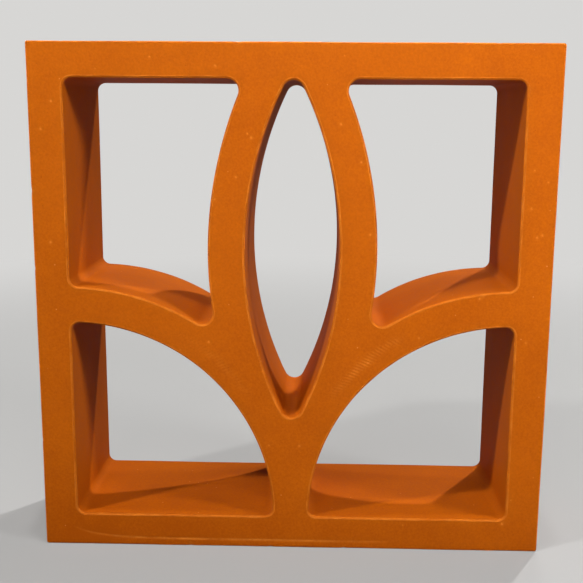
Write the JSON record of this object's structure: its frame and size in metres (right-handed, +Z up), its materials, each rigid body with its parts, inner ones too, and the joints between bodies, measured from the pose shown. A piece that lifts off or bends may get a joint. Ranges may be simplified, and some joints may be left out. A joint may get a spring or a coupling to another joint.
{
  "type": "decorative screen block",
  "caption": "Square fired-clay screen block pierced with a tulip drawn in arcs, laid in mortar to make an open garden wall, partition or vent.",
  "frame": {"origin": "middle of the bed face: halfway across the width and halfway through the depth", "axes": "+X across the width to the right as seen from the front, +Y from the front face to the back face, +Z up"},
  "size_m": [0.2, 0.06, 0.2],
  "materials": {
    "fired_clay": "matte, unglazed, fine sandy grain"
  },
  "bodies": {
    "root": {"screen_block": "fired_clay"}
  },
  "joints": []
}
